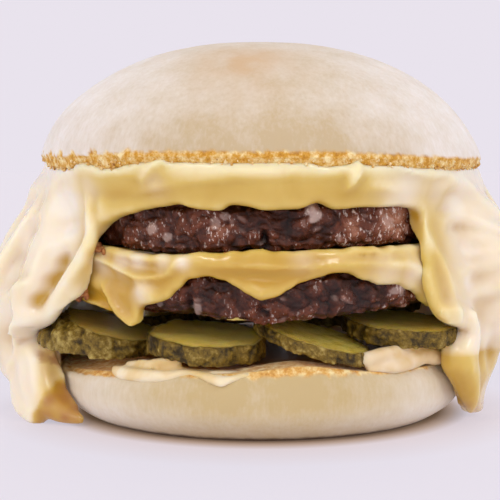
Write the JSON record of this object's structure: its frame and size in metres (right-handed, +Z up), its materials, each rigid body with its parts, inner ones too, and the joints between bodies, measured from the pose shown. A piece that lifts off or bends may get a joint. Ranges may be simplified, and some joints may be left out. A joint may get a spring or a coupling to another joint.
{
  "type": "double cheeseburger",
  "caption": "Double cheeseburger on a floured soft bun, with seared patties, molten cheese running down both sides, pickle slices and a thin sauce.",
  "frame": {"origin": "middle of the flat underside of the lower bun, on the surface it rests on", "axes": "+Z up through the stack, -Y towards the open front where both patties show, +X to the right seen from the front"},
  "size_m": [0.1429, 0.115, 0.096],
  "materials": {
    "bun_top": "soft floured bread crust, pale cream with a toasted golden cut edge",
    "bun_bottom": "soft bread crust, pale cream, with a toasted cut face",
    "patty": "seared minced beef, coarse and moist, dark brown",
    "cheese": "molten processed cheese, smooth, glossy, pale yellow",
    "pickle": "pickled cucumber slice, wet, olive green, with a darker warty rind",
    "sauce": "creamy pale yellow sauce"
  },
  "bodies": {
    "root": {"bun_bottom": "bun_bottom", "sauce_base": "sauce", "pickle_1": "pickle", "pickle_2": "pickle", "pickle_3": "pickle", "pickle_4": "pickle", "pickle_5": "pickle", "pickle_6": "pickle", "pickle_7": "pickle", "pickle_8": "pickle", "pickle_9": "pickle", "pickle_10": "pickle", "pickle_11": "pickle", "patty_lower": "patty", "cheese_lower": "cheese", "patty_upper": "patty", "cheese_upper": "cheese", "bun_top": "bun_top"}
  },
  "joints": []
}
